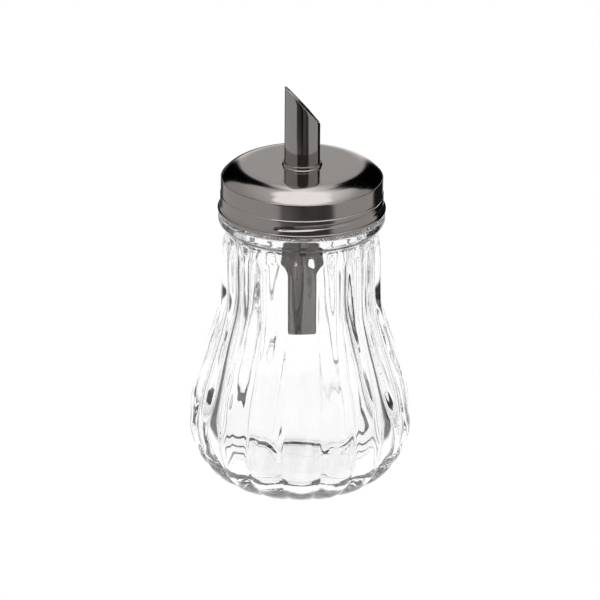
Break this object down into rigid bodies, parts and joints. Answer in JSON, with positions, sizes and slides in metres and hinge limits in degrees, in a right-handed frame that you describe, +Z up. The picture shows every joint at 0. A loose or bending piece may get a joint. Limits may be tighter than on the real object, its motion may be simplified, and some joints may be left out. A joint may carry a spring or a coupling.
{
  "type": "sugar pourer",
  "caption": "Pear-shaped lobed glass jar with a screw-on steel lid and a slant-cut steel pour tube through its centre collar.",
  "frame": {"origin": "centre of the jar's underside, on the surface it stands on", "axes": "+Z up along the jar, lid and tube axis; one lobe faces -Y; the spout's tip is on the -X side"},
  "size_m": [0.0796, 0.0804, 0.1487],
  "materials": {
    "glass": "clear pressed glass, fire polished",
    "lid_steel": "satin polished stainless steel",
    "tube_steel": "polished stainless steel tube",
    "seal": "matt white silicone"
  },
  "bodies": {
    "jar": {"jar": "glass"},
    "seal": {"seal_ring": "seal"},
    "lid": {"lid_cap": "lid_steel"},
    "tube": {"pour_tube": "tube_steel"}
  },
  "joints": [
    {"name": "lid_rise", "type": "slide", "parent": "jar", "child": "seal", "axis": [0, 0, 1], "range_m": [0, 0.0241]},
    {"name": "lid_turn", "type": "hinge", "parent": "seal", "child": "lid", "pos_m": [0, 0, 0.102], "axis": [0, 0, 1], "range_deg": [0, 1440]},
    {"name": "tube_slide", "type": "slide", "parent": "lid", "child": "tube", "axis": [0, 0, 1], "range_m": [-0.012, 0.02]}
  ],
  "couplings": [
    {"joint": "lid_rise", "follows": "lid_turn", "m_per_rad": 0.00095493}
  ]
}
